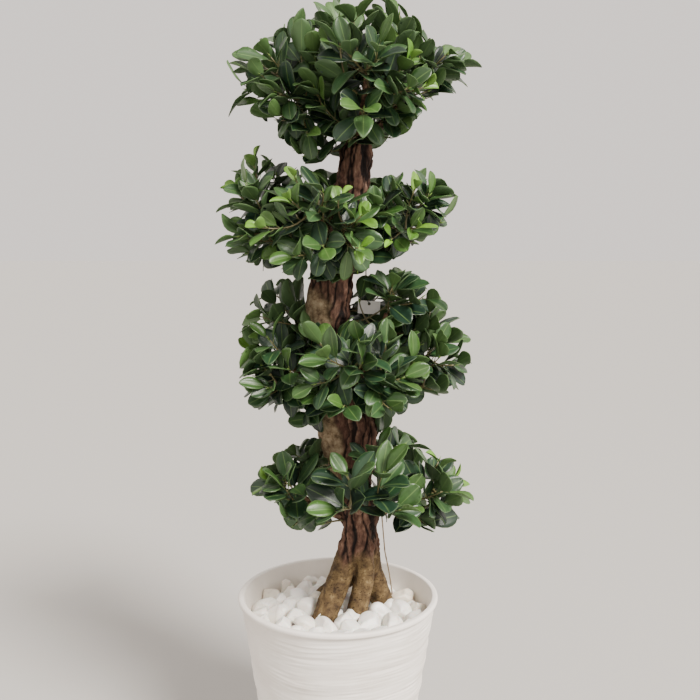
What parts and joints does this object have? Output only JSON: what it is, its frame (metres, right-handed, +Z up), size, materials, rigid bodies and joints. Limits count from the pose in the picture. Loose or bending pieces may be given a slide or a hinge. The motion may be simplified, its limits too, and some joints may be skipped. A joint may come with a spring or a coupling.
{
  "type": "potted ficus",
  "caption": "Column ficus with tiers of glossy oval leaves on a grafted trunk, in a round tapered planter top-dressed with white stones.",
  "frame": {"origin": "centre of the planter's flat underside, on the planter's axis", "axes": "+Z up along the planter's axis, +X to the right and -Y towards the viewer"},
  "size_m": [0.3858, 0.3337, 1.1496],
  "materials": {
    "planter": "warm white moulded planter, matte with fine drawn ridges",
    "soil": "dark crumbly potting mix",
    "stones": "tumbled white marble stones",
    "trunk_bark": "rough grey-brown bark with lenticels, dark and fissured at the grafts",
    "limb_bark": "thin brown bark",
    "root_bark": "thin light brown aerial root",
    "leaf": "glossy dark green leaves, brighter green at new shoots",
    "tag_plastic": "blank white plastic label",
    "tie_wire": "white coated wire"
  },
  "bodies": {
    "root": {"aerial_root": "root_bark", "crown_back_limb": "limb_bark", "crown_back_spray_1": "leaf", "crown_back_spray_2": "leaf", "crown_back_spray_3": "leaf", "crown_front_limb": "limb_bark", "crown_front_spray_1": "leaf", "crown_front_spray_2": "leaf", "crown_left_limb": "limb_bark", "crown_left_spray_1": "leaf", "crown_left_spray_2": "leaf", "crown_left_spray_3": "leaf", "crown_right_limb": "limb_bark", "crown_right_spray_1": "leaf", "crown_right_spray_2": "leaf", "low_back_limb": "limb_bark", "low_back_spray_1": "leaf", "low_back_spray_2": "leaf", "low_front_limb": "limb_bark", "low_front_spray_1": "leaf", "low_front_spray_2": "leaf", "low_left_limb": "limb_bark", "low_left_spray_1": "leaf", "low_left_spray_2": "leaf", "low_right_limb": "limb_bark", "low_right_spray_1": "leaf", "low_right_spray_2": "leaf", "middle_back_limb": "limb_bark", "middle_back_spray_1": "leaf", "middle_back_spray_2": "leaf", "middle_front_limb": "limb_bark", "middle_front_spray_1": "leaf", "middle_front_spray_2": "leaf", "middle_left_limb": "limb_bark", "middle_left_spray_1": "leaf", "middle_left_spray_2": "leaf", "middle_right_limb": "limb_bark", "middle_right_spray_1": "leaf", "middle_right_spray_2": "leaf", "middle_upright_limb": "limb_bark", "middle_upright_spray_1": "leaf", "plant_tag": "tag_plastic", "pot": "planter", "soil": "soil", "stone_layer": "stones", "tag_tie": "tie_wire", "trunk": "trunk_bark", "upper_back_limb": "limb_bark", "upper_back_spray_1": "leaf", "upper_back_spray_2": "leaf", "upper_front_limb": "limb_bark", "upper_front_spray_1": "leaf", "upper_front_spray_2": "leaf", "upper_left_limb": "limb_bark", "upper_left_spray_1": "leaf", "upper_left_spray_2": "leaf", "upper_left_spray_3": "leaf", "upper_right_limb": "limb_bark", "upper_right_spray_1": "leaf", "upper_right_spray_2": "leaf"}
  },
  "joints": []
}
